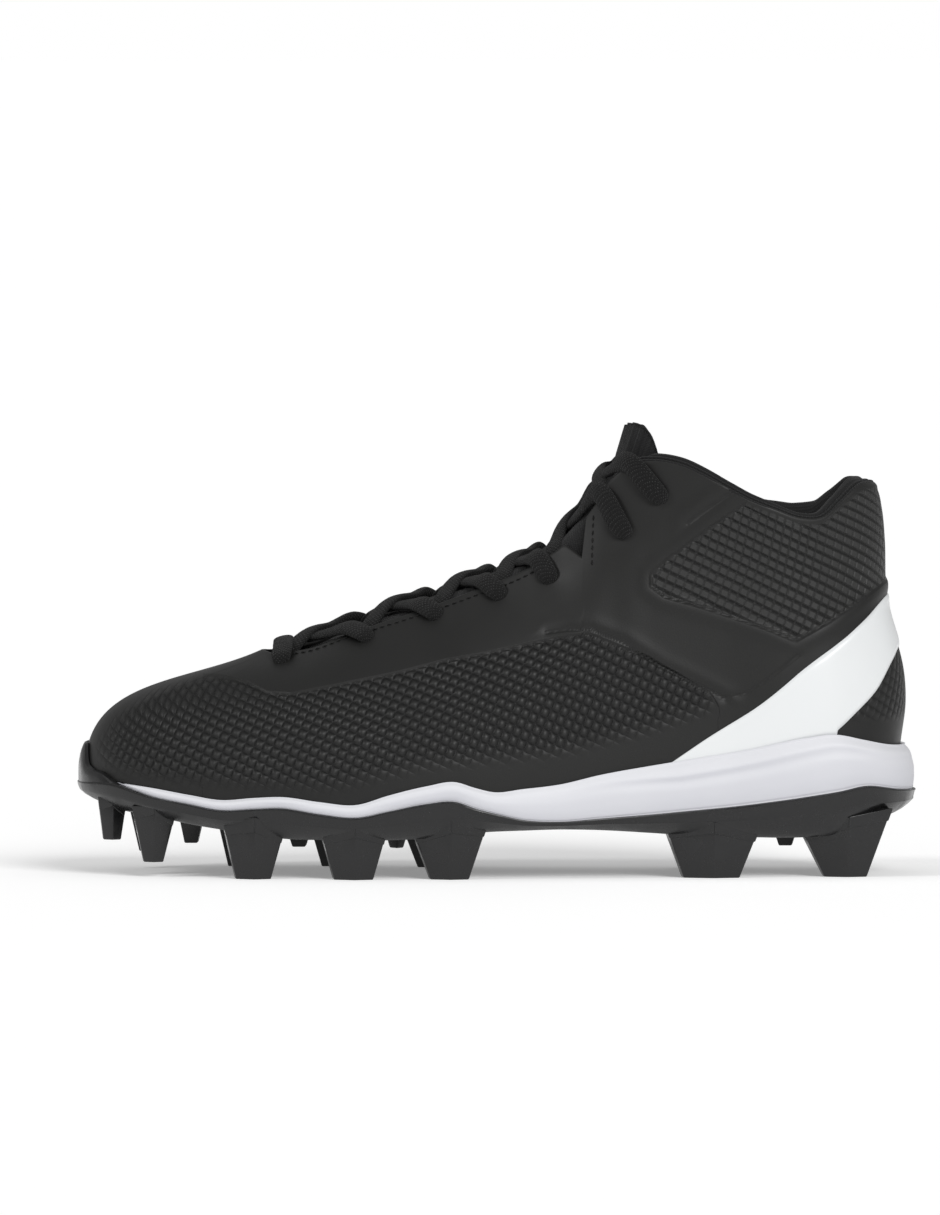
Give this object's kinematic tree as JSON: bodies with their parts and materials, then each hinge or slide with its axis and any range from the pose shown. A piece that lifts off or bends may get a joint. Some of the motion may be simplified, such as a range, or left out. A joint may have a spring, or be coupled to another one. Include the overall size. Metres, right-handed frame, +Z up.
{
  "type": "american football cleat",
  "caption": "Mid-cut american football cleat for the left foot: hollow moulded upper, laces, tongue, padded collar, foam midsole and a studded outsole.",
  "frame": {"origin": "on the ground under the centre of the shoe's bounding box", "axes": "+X towards the heel with the toe at -X, -Y towards the outer side of the left foot, +Z up"},
  "size_m": [0.2975, 0.1036, 0.1586],
  "materials": {
    "outsole": "black moulded plate, satin",
    "midsole": "white moulded foam, satin",
    "insole": "black cloth over foam",
    "upper": "black synthetic skin, matt, embossed",
    "heel_band": "white film, satin",
    "knit": "black knitted cloth over foam",
    "lace": "black woven lace"
  },
  "bodies": {
    "root": {"outsole": "outsole", "midsole": "midsole", "insole": "insole", "upper": "upper", "heel_band": "heel_band", "collar_pad": "knit", "tongue": "knit", "lace_bar": "lace", "lace_cross_1": "lace", "lace_cross_2": "lace", "lace_cross_3": "lace", "lace_cross_4": "lace", "lace_cross_5": "lace", "lace_cross_6": "lace"}
  },
  "joints": []
}
